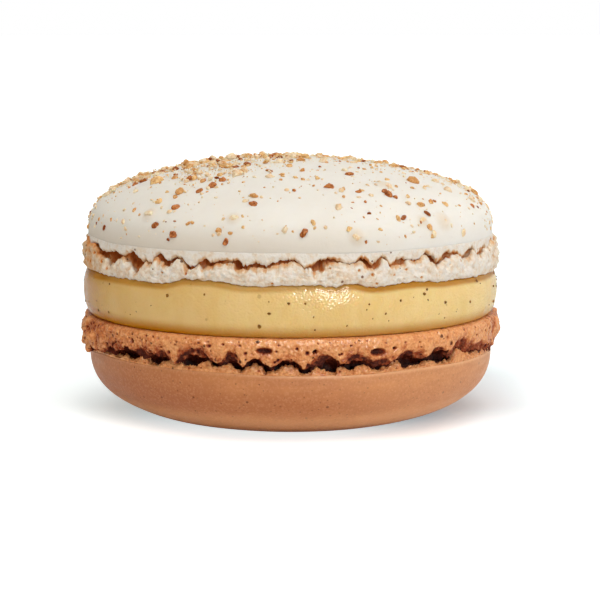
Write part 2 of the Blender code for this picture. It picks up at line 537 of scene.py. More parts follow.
def makeCaramelGlaze():
    look = Look("caramelGlaze", caramelGlaze, 0.25)
    patches, grain = look.patches(3.5, stretch=3), look.grain(0.28)
    # pale grains plus painted light from the mesh's pale mask; the band colour under the other mask is painted
    # shade
    pale = look.plus(look.times(look.spread(grain, 0.2, 0.45), 0.22), look.mask("pale"), clamp=True)
    colour = look.paint(caramelGlaze["colour"], [
        (patches, 0.6, "bandAndShade"), (look.mask("paintedShade"), 1, "bandAndShade"), (look.specks(0.4, 0.1, 0.5), 0.45, "pepper"),
        (look.specks(1.1, 0.15, 0.5), 0.8, "pepper"), (pale, 1, "grain"),
    ])
    return look.finish(colour, look.between(patches, 0.38, 0.5), [(grain, 0.03)])


def makeNutLook(name, pale, deep, clear):
    # one shade of nut: pale to deep from crumb to crumb, with a little toasting over each one
    look = Look(name, {"subsurface": (clear, (1, 0.65, 0.35), 0.35)}, 0.08)
    blotches = look.patches(0.26)
    share = look.plus(look.mask("tone"), look.times(look.less(blotches, 0.5), 1.5), clamp=True)
    colour, roughness = look.mix(share, pale, deep), look.between(blotches, 0.42, 0.65)
    return look.finish(colour, roughness, [(look.grain(0.15), 0.03)])


upperDome = {
    "radius": 22.05, "rise": 7.72,
    "crownPower": 1.76, "sidePower": 2.64,  # how fast it leaves the crown, and how upright it is at the lip
    "ledgeDrop": 0.5,  # from the widest ring down to the rolled lower edge
    "steps": 720, "rows": 132,
}
domeLip = upperTop - upperDome["rise"]  # height of the widest ring
ledge = domeLip - upperDome["ledgeDrop"]


def domeOutline(turn):
    # the upper dome, from its crown at turn 0 to its widest ring at 90 degrees: r sin^(2/p) and h cos^(2/q)
    radius = upperDome["radius"] * np.sin(turn) ** (2 / upperDome["crownPower"])
    return radius, domeLip + upperDome["rise"] * np.cos(turn) ** (2 / upperDome["sidePower"])


nutCrumbs = {
    "count": 1600, "front": 0.29,  # how many, and how thickly they lie on the front compared with the heap
    "dust": 2800, "dustFront": 0.07, "dustSize": 0.16,
    "middleSize": 0.46, "sizeSpread": 0.45, "least": 0.2, "most": 1.4,
    "sunk": 0.48,  # share of a crumb's half width that lies in the glaze
    # the heap's front edge: millimetres to the right of the crown and behind it
    "heapFront": [(-20, -3), (-14, -7), (-11, -13.5), (-6, -13), (-3, -7.5), (2, -5), (12, -3), (20, -1)],
    # pale and deep colour, how much light goes through, share of the crumbs, and the biggest on the front,
    # each (degrees from the front, degrees down from the crown, length, width)
    "shades": {
        "toasted": (rgb(200, 126, 66), rgb(138, 68, 26), 0.1, 0.12, [
            (-32.5, 85, 1.25, 0.85), (-39, 80, 1.1, 0.7), (-11, 62, 1.45, 1), (-35.5, 67, 1.15, 0.9),
            (-30.5, 48.5, 1.5, 1), (-33, 53, 1.1, 0.7), (-12.5, 30, 1.1, 0.8), (3.5, 82, 1.15, 1),
            (33.5, 57, 1.15, 1), (41.5, 73, 0.9, 0.75), (32.5, 74.5, 0.95, 0.55), (-62, 86, 0.9, 0.6),
        ]),
        "golden": (rgb(236, 196, 136), rgb(208, 148, 86), 0.25, 0.38, [
            (-40, 55, 1.7, 1.1), (-62, 49, 1.9, 1.3), (15.5, 80.5, 0.85, 0.75), (56, 47, 1.9, 1.3),
            (41.5, 66.5, 0.95, 0.8), (41, 86.5, 0.9, 0.6),
        ]),
        "pale": (rgb(243, 224, 192), rgb(232, 196, 152), 0.4, 0.5, [
            (-15.5, 73, 1.15, 0.95), (-43, 73.5, 1.3, 1), (17.5, 85, 1.3, 0.95), (38, 48, 1.7, 0.9),
            (46.5, 79, 1.6, 1), (38.5, 77.5, 1.1, 0.8),
        ]),
    },
}


def ballShape(cuts):  # corners and triangles of a round ball: 20 triangles, or 80 with one more cut
    ball = bmesh.new()
    bmesh.ops.create_icosphere(ball, subdivisions=cuts, radius=1)
    ball.verts.index_update()
    corners = np.array([vertex.co for vertex in ball.verts])
    triangles = np.array([[vertex.index for vertex in face.verts] for face in ball.faces])
    ball.free()
    return corners, triangles


def domePlaces(around, down):
    # places and outward normals on the upper dome, at angles round the axis and down from the crown;
    # the slope between two near points is 0 on the crown and a right angle at the lip
    before, after = (domeOutline(np.clip(down + step, 0, math.pi / 2)) for step in (-0.01, 0.01))
    slope = np.arctan2(before[1] - after[1], after[0] - before[0])
    radius, height = domeOutline(down)
    return polar(radius, around, height), polar(np.sin(slope), around, np.cos(slope))


def sprinkle(dice, count, front):
    # where crumbs fall: even over the dome's area, then kept by a chance that is high on a heap left of the
    # crown, middling on the sides and back, and low on the front, before the line through "heapFront"
    down = np.linspace(0, 0.5 * math.pi, 400)
    radius, height = domeOutline(down)
    ring = np.append(0, np.cumsum(np.hypot(np.diff(radius), np.diff(height)) * (radius[1:] + radius[:-1])))
    tries = 40 * count
    around = dice.uniform(-math.pi, math.pi, tries)
    down = np.interp(dice.uniform(0, ring[-1], tries), ring, down)
    places, _ = domePlaces(around, down)
    x, slope = places[:, 0], np.degrees(down)
    behind = places[:, 1] - np.interp(x, *np.array(nutCrumbs["heapFront"]).T)
    behind += 1.8 * softNoise(places, 5, 201) + 1.4 * softNoise(places, 2, 202)
    heap = ease(behind, -2, 2.5) * ease(slope, 80, 58)
    heap *= 1 - 0.62 * ease(x, -1, 5)
    sides = 0.5 * ease(np.abs(np.degrees(around)), 60, 84) * ease(slope, 91, 84)
    right = 0.06 * ease(x, 2, 8) * ease(slope, 86, 70)
    kept = dice.random(tries) < np.maximum(heap, front + sides + right) * ease(slope, 90.5, 87)
    return around[kept][:count], down[kept][:count], heap[kept][:count]


def unit(vectors):
    return vectors / np.linalg.norm(vectors, axis=-1, keepdims=True)


def addChips(name, ball, places, normals, size, tone, dice):
    # Chips of nut: a ball cut by nine random flats, each corner u drawn in to the least of flat distance /
    # (u . flat), then squashed to its length, width and thickness, laid on the surface and turned at random.
    corners, triangles = ball
    count = len(places)
    flats = unit(dice.normal(size=(count, 9, 3)))
    facing = np.maximum(np.einsum("cfk,pk->cpf", flats, corners), 0.05)
    reach = np.minimum(np.min(dice.uniform(0.5, 0.95, (count, 1, 9)) / facing, -1), 1)
    reach *= dice.uniform(0.86, 1.08, reach.shape)
    shape = corners[None] * reach[..., None] * (size[:, None, :] / 2)
    side = unit(np.cross(normals, dice.normal(size=(count, 3))))
    up = normals + 0.35 * dice.normal(size=(count, 3))
    up = unit(up - np.sum(up * side, -1, keepdims=True) * side)
    frames = np.stack([side, np.cross(up, side), up], 1)
    points = np.einsum("cpk,ckj->cpj", shape, frames) + places[:, None]
    faces = triangles[None] + len(corners) * np.arange(count)[:, None, None]
    masks = {"tone": np.repeat(tone, len(corners))}
    return addMesh(name, points.reshape(-1, 3), faces.reshape(-1, 3).tolist(), masks, smooth=False)


def scatterNuts():
    # all the crumbs, sorted by shade, and the dust between them; gives back the pale ones under the glaze
    dice = np.random.default_rng(5)
    values, shades = nutCrumbs, nutCrumbs["shades"]
    around, down, heap = sprinkle(dice, values["count"], values["front"])
    length = values["middleSize"] * np.exp(values["sizeSpread"] * dice.normal(size=len(around)))
    length = np.clip(length * (1 + 0.25 * heap), values["least"], values["most"])
    width = length * dice.uniform(0.6, 0.95, len(around))
    shade = dice.choice(len(shades), len(around), p=[given[3] for given in shades.values()])
    chosen = np.array([(*row, number) for number, given in enumerate(shades.values()) for row in given[4]])
    around, down = np.append(around, np.radians(chosen[:, 0])), np.append(down, np.radians(chosen[:, 1]))
    heap, shade = np.append(heap, np.zeros(len(chosen))), np.append(shade, chosen[:, 4])
    length, width = np.append(length, chosen[:, 2]), np.append(width, chosen[:, 3])
    places, normals = domePlaces(around, down)
    thick = width * dice.uniform(0.65, 0.95, len(width))
    pile = heap * dice.uniform(0, 1, len(heap)) ** 2 * 0.3
    places += normals * (thick * (0.5 - values["sunk"]) + pile)[:, None]
    tone = dice.uniform(0, 1, len(width))
    size = np.stack([length, width, thick], -1)
    made = {}
    for number, key in enumerate(shades):
        own = shade == number
        given = (values[own] for values in (places, normals, size, tone))
        made[key] = addChips(key + "Crumbs", ballShape(2), *given, dice)
    around, down, heap = sprinkle(dice, values["dust"], values["dustFront"])
    places, normals = domePlaces(around, down)
    size = values["dustSize"] * np.exp(0.35 * dice.normal(size=len(around)))[:, None]
    size = size * dice.uniform(0.7, 1.2, (len(around), 3))
    places += normals * (size[:, 2] * 0.15 + 0.3 * heap * dice.uniform(0, 1, len(heap)) ** 2)[:, None]
    tone = dice.uniform(0, 1, len(around))
    made["dust"] = addChips("crumbDust", ballShape(1), places, normals, size, tone, dice)
    around, down, length, _ = np.array(shades["pale"][4]).T
    spots, _ = domePlaces(np.radians(around), np.radians(down))
    return made, [(*spot, 0.85 * long) for spot, long in zip(spots, length)]


def makeUpperDome(buried):
    # the outline above, rolled under at the ledge and closed flat; buried nuts lift and tint the glaze
    radius, height = domeOutline(np.linspace(0, math.pi / 2, 400))
    roll = np.linspace(0, math.pi / 2, 12)
    radius = np.append(radius, upperDome["radius"] - 0.02 - 0.12 * (1 - np.cos(roll)))
    height = np.append(height, ledge + 0.1 * (1 - np.sin(roll)))
    radius, height = evenProfile(radius, height, upperDome["rows"])
    radius = np.append(radius, [21.2, 20, 16, 8, 0])
    points = polar(radius, ringAngles(upperDome["steps"]), np.append(height, np.full(5, ledge + 0.02)))
    lift = 0.05 * softNoise(points, 9, 11) + 0.025 * softNoise(points, 3.5, 12)
    stain = np.zeros(lift.shape)
    for x, y, z, size in buried:
        near = np.clip(1 - np.sum((points - (x, y, z)) ** 2, -1) / size ** 2, 0, 1)
        lift += 0.2 * size * near ** 2
        stain = np.maximum(stain, 0.4 * near ** 1.5)
    lift[:, -6:] = 0
    points = pushOut(points, lift, closed=False)
    points[:, 0, :2], points[:, -1, :2] = 0, 0
    points[:, 0, 2] = points[:, 1, 2].mean() + 0.01
    # painted shade: darker towards the ledge, most on the left and fading out towards the right
    low = 0.8 * ease(points[..., 2], domeLip + 3, ledge) * ease(points[..., 0], 18, -8)
    return gridPiece("upperDome", points, {"stain": stain, "low": low}, closed=False)


upperSkirt = {
    # The crack's toothed upper lip and ruffled lower crest over the front, as heights above the hem:
    # (degrees from the front, height of the tooth or dip, height at the middle of the arc that follows)
    "lip": [
        (-62, 2.4, 2.8), (-52, 2.35, 3), (-43, 2, 2.1), (-40, 2.1, 3.1), (-33.5, 2.5, 2.85),
        (-27.5, 1.95, 2.85), (-19, 2.55, 2.9), (-12, 2.3, 2.5), (-6, 2.35, 2.95), (4, 2.1, 3),
        (16, 2.55, 2.95), (22, 2, 2.9), (28, 2.05, 2.65), (36, 2.6, 2.95), (42.5, 1.95, 2.95),
        (53, 2.15, 2.8), (63, 2.05, 2.65), (72, 2.2, 2.7),
    ],
    "crest": [
        (-66, 1.7, 1.9), (-59, 0.95, 2.15), (-46.5, 0.7, 2.6), (-33.5, 1.9, 2.65), (-28.5, 1.5, 2.15),
        (-23, 1.75, 2.6), (-13, 1.9, 2.15), (-6, 2, 2.75), (4.5, 1.85, 2.95), (22, 1.8, 2.95),
        (28, 1.95, 2.95), (42.5, 1.5, 2.95), (56, 1.95, 2.95), (64, 1.8, 2.6),
    ],
    "lean": 1.35,  # the ruffles lean over to the right
    "slit": 0.1,  # least opening of the crack
    "hem": [  # degrees from the front and height above the ground
        (-72, 16.5), (-36, 16.52), (-28, 17.15), (-22, 17.15), (-12, 16.72), (6, 16.88), (12, 16.65),
        (15, 16.92), (22, 16.5), (34, 16.7), (46, 16.42), (72, 16.2), (110, 16.6), (150, 16.4),
        (200, 16.8), (250, 16.5),
    ],
    "knots": [(-86, 27, 1), (86, 22, 0.9), (145, 20, 0.8), (-150, 25, 0.9)],  # where round lumps close it
    "steps": 1200,
}


def crackLines(angles):
    # the upper shell's crack: its lip, its crest and how knotted the foot is there
    skirt = upperSkirt
    lip = arcLine(angles, skirt["lip"], (1.9, 2.6), (2.6, 3.05), (4, 11), 31, bluntness=(0.55, 1.1))
    lip += upperBottom + 0.19 * ringRough(angles, 1.1, 43, 4, 0.85)
    crest = arcLine(angles, skirt["crest"], (1.2, 2), (2, 2.9), (5, 14), 41, skirt["lean"], (0.5, 0.8))
    crest += upperBottom + 0.17 * ringRough(angles, 1, 47, 4, 0.85)
    slit = skirt["slit"] * (1 + 1.2 * ringRough(angles, 1.6, 49, 2))
    knots = np.clip(windows(angles, skirt["knots"]) * 1.5, 0, 1)
    crest = np.minimum(crest, lip - slit)
    return lip + 0.15 * knots, crest + knots * (lip + 0.35 - crest), knots


def makeUpperBand():
    # the ragged band under the ledge: a ring whose lower edge follows the toothed lip line
    angles = ringAngles(upperSkirt["steps"])
    lip = np.minimum(crackLines(angles)[0], ledge - 0.14)
    out = 0.06 * ringRough(angles, 2.2, 61, 3)
    cage = [
        (19.6, ledge + 0.6), (21.6, ledge + 0.55), (22, ledge + 0.4), (22.08, ledge + 0.05),
        (22.07 + 0.3 * out, 0.75 * ledge + 0.25 * lip), (22.05 + out, 0.35 * ledge + 0.65 * lip),
        (21.98 + out, lip + 0.08), (21.84 + out, lip - 0.08), (21.55 + out, lip + 0.04),
        (21.2, lip + 0.25), (20.4, ledge - 0.05), (19.6, ledge),
    ]
    points = carryProfile(angles, cage, [2, 3, 5, 7, 8, 8, 9, 7, 6, 4, 2, 2])
    radius = radiusOf(points)
    face = ease(radius, 21, 21.7) * ease(points[..., 2], ledge + 0.02, ledge - 0.9)
    lump = cellNoise(points, 0.8, 63)[0]
    relief = 0.1 * (0.45 - lump) + 0.09 * rough(points, 0.9, 65, 4, 0.6)
    pits = pores(points, 0.9, 67, 0.15, 0.2)
    points = pushOut(points, (relief - 0.12 * pits) * face)
    x, height = points[..., 0], points[..., 2]
    # toasting bleeds from the lip; painted shade inside the ledge, in the pits and in the hollows
    inside = ease(radius, 21.8, 21.3) * ease(height, ledge + 0.02, ledge - 0.2)
    bleed = (0.35 + 0.5 * rough(points, 2, 68, 3)) * (0.4 + 0.6 * ease(x, -12, 4))
    toastAndShade = 0.75 * inside + 0.5 * pits * face + 0.9 * hollows(points, 4) + 0.02
    toastAndShade += np.clip(bleed, 0, 0.6) * ease(height, lip + 0.4, lip)
    return gridPiece("upperBand", points, {"toastAndShade": toastAndShade})


upperFoot = {
    "radius": 22.4, "lumps": 0.16, "pleats": 0.42, "rows": (3, 4, 4, 6, 8, 10, 10, 9, 7, 6, 3, 2, 2, 2),
}


def bendPlaces(points, amount, size, seed):  # places pushed about by rough noise, so that patterns wander
    return points + amount * np.stack([rough(points, size, seed + k, 2) for k in range(3)], -1)


def makeUpperFoot():
    # the ruffled foot: back wall of the crack, crest, lumpy face and wavy hem, closed through the shell
    angles = ringAngles(upperSkirt["steps"])
    lip, crest, knots = crackLines(angles)
    gape = ease(lip - crest, 0.1, 1.5)
    wide = upperFoot["radius"] + 0.12 * ringRough(angles, 5, 71, 2) + 0.1 * knots - 0.12 * gape
    hem = waveLine(angles, upperSkirt["hem"]) + 0.1 * np.abs(ringRough(angles, 2.6, 73, 2)) - 0.04
    hem += 0.12 * ringRough(angles, 0.8, 77, 3, 0.7)
    deep = 0.75 + 0.75 * gape + 0.12 * ringRough(angles, 1.2, 79, 2)
    back = wide - deep
    cage = [
        (19.4, ledge + 0.1), (back - 0.3, ledge + 0.05), (back - 0.05, 0.5 * (crest + lip) + 0.1),
        (back + 0.1, crest - 0.15 - 0.2 * gape), (wide - 0.5 * deep - 0.15, crest - 0.12 - 0.2 * gape),
        (wide - 0.46, crest + 0.06), (wide - 0.12, crest - 0.18), (wide + 0.05, 0.62 * crest + 0.38 * hem),
        (wide + 0.07, 0.3 * crest + 0.7 * hem), (wide, hem + 0.4), (wide - 0.12, hem + 0.05),
        (wide - 0.55, hem - 0.02), (wide - 1.6, hem + 0.25), (19.4, hem + 0.5),
    ]
    points = carryProfile(angles, cage, upperFoot["rows"])
    radius, height = radiusOf(points), points[..., 2]
    face = ease(radius, wide - 1.2, wide - 0.45) * ease(height, hem - 0.05, hem + 0.4)
    bent = bendPlaces(points, 0.35, 1.5, 201)
    flat = unrolled(bent)
    pleats = cellNoise((flat - flat[..., 1:2] * (1, 0, 0)) * (1, 0.35, 0), 1.25, 80, flat=True)[0]
    big, bigNext, _ = cellNoise(flat * (0.62, 1, 0), 1.35, 81, flat=True)
    middle, small = cellNoise(bent, 1.3, 82)[0], cellNoise(bent, 0.55, 83)[0]
    relief = 0.62 * knots * (0.5 - big) + upperFoot["lumps"] * (0.5 - middle) + 0.12 * (0.45 - small)
    near = ease(height, hem + 0.3, crest) * (1 - knots) * ease(lip - crest, 0, 0.8)
    relief += upperFoot["pleats"] * near * (0.5 - pleats) + 0.13 * rough(points, 1, 85, 4, 0.65)
    pits = pores(points, 0.85, 87, 0.1, 0.22)
    # toasting along the crest; painted shade on the crack's back wall, in pits, hollows and the seams between
    # knots, more at the far left and less to the right
    inside = ease(radius, wide - 0.35, wide - 0.95)
    points = pushOut(points, (relief - 0.18 * pits) * face)
    x, height = points[..., 0], points[..., 2]
    rise = ease(height, crest - 0.3, lip + 0.1)
    inside = inside * ease(height, crest - 1.2, crest - 0.5)
    inside = inside * (0.3 + 0.5 * rise + 0.3 * rough(points, 1, 89, 4, 0.7))
    seam = np.clip(0.25 - (bigNext - big), 0, 0.25) * knots
    lighter = ease(x, 3, 13)
    bleed = np.clip(0.22 + 0.5 * rough(points, 2, 90, 3), 0, 0.6) * (1 - 0.4 * lighter)
    toastAndShade = inside + 0.55 * pits * face + 1.5 * hollows(points, 6, 0.12) + 0.7 * seam + 0.08 - 0.05 * lighter
    toastAndShade += bleed * ease(height, crest - 0.55, crest + 0.05) + 0.1 * knots + 0.14 * ease(x, -17.5, -22)
    return gridPiece("upperFoot", points, {"toastAndShade": toastAndShade})


# top and bottom reach into the two shells; its upper edge is roundest at "roundAt" degrees from the front
creamDisc = {"bulge": 22.62, "top": 0.45, "bottom": 0.42, "roundAt": 10, "steps": 640}


def makeFilling():
    # a disc whose side swells between the two feet, with slow swellings round it
    angles = ringAngles(creamDisc["steps"])
    swell = 0.09 * ringRough(angles, 14, 91, 2) + 0.03 * ringRough(angles, 3, 93, 2)
    top, bottom, wide = fillTop + creamDisc["top"], fillBottom - creamDisc["bottom"], creamDisc["bulge"]
    rim = waveLine(angles, upperSkirt["hem"]) + 0.25
    away = np.abs((np.degrees(angles) - creamDisc["roundAt"] + 180) % 360 - 180)
    rounded = ease(away, 70, 25)
    cage = [
        (0, top), (12, top), (20.2, top), (21.6 + swell, rim), (22.18 - 0.05 * rounded + swell, rim - 0.3),
        (wide - 0.2 - 0.12 * rounded + swell, rim - 0.9),
        (wide - 0.05 * rounded + swell, rim - 1.6 - 0.3 * rounded), (wide + 0.04 + swell, bottom + 2.3),
        (wide - 0.12 + swell, bottom + 1.3), (22.3 + 0.5 * swell, bottom + 0.6), (22, bottom + 0.15),
        (20.6, bottom), (12, bottom), (0, bottom),
    ]
    points = carryProfile(angles, cage, [2, 4, 8, 12, 14, 14, 16, 14, 12, 10, 6, 4, 2], closed=False)
    lift = 0.02 * rough(points, 1.8, 95, 3) * ease(radiusOf(points), 20.5, 21.5)
    points = pushOut(points, lift, closed=False)
    x, height = points[..., 0], points[..., 2]
    # painted shade: a darker ochre under the hem, above the lower foot and towards the left side
    under = 0.5 + 0.1 * ease(x, -14, 2) + 0.3 * ease(x, 2, 9)
    creamShade = under * ease(height, rim - 1.05, rim - 0.6) + 0.75 * ease(height, fillBottom + 1.3, fillBottom)
    creamShade += 0.35 * ease(x, 3, -20) + 0.6 * ease(x, -18, -22.6)
    return gridPiece("custardFilling", points, {"creamShade": creamShade}, closed=False)


vanillaSeeds = {"count": 110, "least": 0.2, "most": 0.5, "pale": rgb(150, 104, 40), "deep": rgb(98, 62, 20)}


def scatterSeeds():
    # flecks of vanilla seed set in the filling's side
    dice = np.random.default_rng(9)
    count, least, most = (vanillaSeeds[key] for key in ("count", "least", "most"))
    around = dice.uniform(-math.pi, math.pi, count)
    height = dice.uniform(fillBottom + 0.5, fillTop - 0.4, count)
    away = np.abs(height - 0.5 * (fillTop + fillBottom)) / (0.5 * (fillTop - fillBottom))
    places = polar(creamDisc["bulge"] - 0.02 - 0.33 * away ** 2.6, around, height)
    size = least + (most - least) * dice.uniform(0, 1, count) ** 2.2
    size = np.stack([size, size * dice.uniform(0.7, 1, count), size * 0.5], -1)
    tone = dice.uniform(0, 1, count)
    return addChips("vanillaSeeds", ballShape(2), places, polar(1, around, 0), size, tone, dice)


lowerFoot = {
    "radius": 22.72, "lumps": 0.1,
    # The face's lower edge, arched between hanging teeth, the crumbly rim under it, and the line where the
    # brown roof of the hollows ends and the dark crack begins, as heights above the base:
    # (degrees from the front, height of the tooth or dip, height at the middle of the arc that follows)
    "edge": [
        (-62, 9.2, 9.4), (-52, 9.25, 9.6), (-45.5, 9.45, 9.8), (-38.4, 9.2, 9.75), (-31.4, 8.6, 10.45),
        (-19, 8.9, 10.5), (-12, 8.7, 9.8), (-5.2, 8.8, 9.5), (3.3, 8.6, 10.15), (13.2, 9.1, 10.05),
        (21.6, 9.3, 9.5), (26.5, 9, 9.95), (37.6, 9.2, 9.8), (46, 9.1, 10.4), (60, 9.3, 9.7), (68, 9.2, 9.5),
    ],
    "rim": [
        (-62, 8.3, 8.5), (-54, 8.3, 8.6), (-48.6, 8.3, 9.15), (-40, 7.9, 8.8), (-26.5, 8.3, 8.9),
        (-20.5, 8.45, 8.85), (-13.7, 8.05, 8.95), (-5.7, 8.1, 8.9), (3.7, 8, 8.6), (11, 7.95, 8.65),
        (15.8, 8.25, 8.6), (23, 7.9, 8.85), (33, 8.05, 8.45), (45, 8, 8.3), (48, 7.9, 9), (60.5, 8.1, 8.5),
    ],
    "roof": [
        (-57, 8.5, 9.45), (-43, 8.5, 9.1), (-32, 8.6, 9.45), (-19.4, 8.95, 9.2), (-13, 8.72, 9.6),
        (-6, 8.85, 9.45), (3.2, 8.5, 8.6), (7.6, 8.6, 9.4), (14.3, 8.92, 9.15), (22.4, 8.35, 8.55),
        (26.2, 8.5, 9.3), (37, 8.87, 9.4), (48, 8.5, 9), (57, 8.3, 8.5), (66, 8.2, 8.4),
    ],
    "pits": [  # degrees from the front, height, half width, half height
        (-6.6, 10.35, 0.85, 0.42), (6.3, 10.25, 0.26, 0.26), (22.8, 9.95, 0.85, 0.45),
        (27.5, 10.25, 0.22, 0.2), (-57.5, 8.75, 0.45, 0.25), (-46, 10.35, 0.28, 0.3), (-53, 10, 0.25, 0.25),
    ],
    "shut": [(-82, 32, 1), (82, 20, 1), (150, 25, 0.9), (-140, 20, 0.8)],  # where the crack is baked shut
    "steps": 1200, "rows": (3, 3, 5, 7, 8, 9, 9, 8, 7, 7, 6, 4, 2, 2, 2),
}


def cavernLines(angles):
    # the lower shell's crack: the face's arched edge, the roof's edge behind it, and the crumbly rim below
    foot = lowerFoot
    shut = np.clip(windows(angles, foot["shut"]) * 1.6, 0, 1)
    edge = arcLine(angles, foot["edge"], (8.6, 9.4), (9.5, 10.5), (5, 12), 7, bluntness=(0.5, 0.85))
    edge += 0.18 * ringRough(angles, 1.3, 113, 5, 0.7)
    rim = arcLine(angles, foot["rim"], (7.95, 8.4), (8.4, 9), (5, 11), 17, bluntness=(0.55, 1), warp=1.3)
    rim += 0.16 * ringRough(angles, 1, 123, 5, 0.75)
    roof = arcLine(angles, foot["roof"], (8.3, 9), (8.8, 9.5), (6, 13), 27, bluntness=(0.5, 0.9))
    roof = np.minimum(roof + 0.16 * ringRough(angles, 1.3, 125, 4, 0.7), edge - 0.06)
    return edge - shut, roof - shut, rim - 0.08 + 0.1 * shut, shut


def makeLowerFoot():
    # smooth shoulder under the filling, porous face, arched edge, roof of the hollows and back wall; the roof,
    # back wall, pits and hollows carry painted shade
    angles = ringAngles(lowerFoot["steps"])
    edge, roof, rim, shut = cavernLines(angles)
    wide = lowerFoot["radius"] + 0.1 * ringRough(angles, 4, 131, 3) - 0.05 * shut
    inset = 0.4 + 0.35 * ease(edge - roof, 0.1, 1) + 0.15 * ringRough(angles, 1.3, 133, 3)
    back = wide - 2.3 + 0.3 * ringRough(angles, 1.6, 135, 2)
    back += np.maximum(1.5 * shut, 1.15 * ease(roof - rim, 0.75, 0.3))
    top = lowerTop + 0.05
    cage = [
        (19.4, top - 0.3), (wide - 1.9, top), (wide - 0.95, top + 0.02), (wide - 0.3, top - 0.1),
        (wide, top - 0.55), (wide + 0.05, 0.5 * (top + edge) - 0.1), (wide - 0.02, edge + 0.22),
        (wide - 0.12, edge - 0.02), (wide - 0.5 * inset, 0.8 * edge + 0.2 * roof),
        (wide - 0.9 * inset, 0.4 * edge + 0.6 * roof), (wide - inset, roof), (wide - inset - 0.5, roof + 0.15),
        (back, 0.5 * (roof + rim) + 0.1), (back + 0.1, rim - 0.3), (19.4, rim - 0.6),
    ]
    points = carryProfile(angles, cage, lowerFoot["rows"])
    x, radius, height = points[..., 0], radiusOf(points), points[..., 2]
    face = ease(radius, wide - 1, wide - 0.35) * ease(height, top - 0.02, top - 0.4)
    face *= ease(height, edge - 0.5, edge - 0.1)
    bent = bendPlaces(points, 0.3, 1.2, 211)
    flat = unrolled(bent)
    flat = (flat + 0.5 * flat[..., 1:2] * (1, 0, 0)) * (1, 0.5, 0)
    curls, curlsNext, _ = cellNoise(flat, 1.7, 141, flat=True)
    middle, small = cellNoise(bent, 1.05, 142)[0], cellNoise(bent, 0.38, 143)[0]
    left, calm = ease(x, -8, -19), 1 - 0.55 * ease(x, 5, 13)
    relief = shut * (0.45 - curls) + (lowerFoot["lumps"] + 0.08 * left) * (0.45 - middle)
    relief = relief + 0.11 * calm * (0.45 - small)
    relief += (0.1 * calm + 0.05 * left) * rough(points, 0.9, 145, 4, 0.7)
    fine = np.maximum(pores(points, 0.62, 147, 0.17, 0.17), left * pores(points, 0.8, 171, 0.28, 0.22))
    coarse = pores(points, 1.4, 148, 0.26, 0.26)
    pits = pitsAt(points, lowerFoot["pits"])
    holes = np.maximum(np.maximum(fine, coarse), pits ** 0.5)
    cave = ease(radius, wide - 0.35, wide - 0.8) * ease(height, top - 0.9, top - 1.3)
    depth = relief - 0.22 * fine - 0.32 * coarse - 0.75 * np.sqrt(pits)
    points = pushOut(points, depth * face + 0.22 * cave * rough(points, 0.8, 149, 4, 0.7))
    x, height = points[..., 0], points[..., 2]
    # painted shade under the face's edge, on the deep back wall, in holes, hollows and the seams between
    # curls, and at the far left; the scorch above the edge is toasting
    under = ease(height, top - 0.9, top - 1.2)
    roofShare = ease(radius, wide - 0.1, wide - 0.5) * under * (1 + 0.25 * rough(points, 0.7, 150, 3))
    deepShare = ease(radius, wide - 0.75, wide - 1.5) * under
    seam = np.clip(0.3 - (curlsNext - curls), 0, 0.3) * shut
    toastAndShade = 0.64 * roofShare + 0.5 * deepShare + 0.95 * holes * face + 1.4 * seam
    toastAndShade += 1.9 * hollows(points, 5) + 0.05 * shut + 0.12 * left * ease(x, -22.4, -18)
    scorch = np.clip(0.22 + 0.6 * rough(points, 1.3, 152, 4, 0.75), 0, 0.45) * (1 - shut)
    toastAndShade += scorch * (1 - 0.7 * ease(x, 12, 17)) * ease(height, edge + 1.1, edge + 0.15)
    return gridPiece("lowerFoot", points, {"toastAndShade": toastAndShade})


lowerDome = {
    "radius": 22, "flat": 10, "crownPower": 1.9, "sidePower": 2.5,
    "lip": [  # degrees from the front and height of its edge
        (-76, 7.52), (-64, 7.87), (-20, 7.85), (-3, 7.69), (16, 7.61), (36, 7.75), (60, 7.56), (78, 7.43),
        (130, 7.6), (180, 7.5), (240, 7.7),
    ],
    "steps": 720, "rows": 120,
}


def makeLowerRim():
    # the crumbly rim that stands on the lower shell's lip, toothed along its top
    angles = ringAngles(lowerFoot["steps"])
    rim, lip = cavernLines(angles)[2], waveLine(angles, lowerDome["lip"])
    out = 0.06 * ringRough(angles, 1.5, 151, 3)
    cage = [
        (19.6, lip + 0.3), (20.9, lip + 0.2), (21.2, rim - 0.2), (21.48 + out, rim + 0.05),
        (21.72 + out, rim + 0.02), (21.93 + out, rim - 0.22), (22.02 + out, 0.5 * (lip + rim)),
        (22.02 + 0.5 * out, lip + 0.12), (21.95, lip - 0.03), (21.4, lip - 0.25), (19.6, lip - 0.25),
    ]
    points = carryProfile(angles, cage, [2, 5, 7, 8, 8, 8, 8, 6, 4, 2, 2])
    face = ease(points[..., 2], lip + 0.04, lip + 0.3) * ease(radiusOf(points), 20.8, 21.4)
    small = cellNoise(points, 0.42, 153)[0]
    holes = pores(points, 0.8, 157, 0.3, 0.2)
    relief = 0.13 * (0.45 - small) + 0.12 * rough(points, 0.7, 155, 4, 0.7) - 0.2 * holes
    points = pushOut(points, relief * face)
    # painted shade on the rim's inner side, in its hollows and holes
    toastAndShade = 0.8 * ease(radiusOf(points), 21.6, 21.1) + 1.6 * hollows(points, 4) + 0.6 * holes * face + 0.06
    return gridPiece("lowerRim", points, {"toastAndShade": toastAndShade})


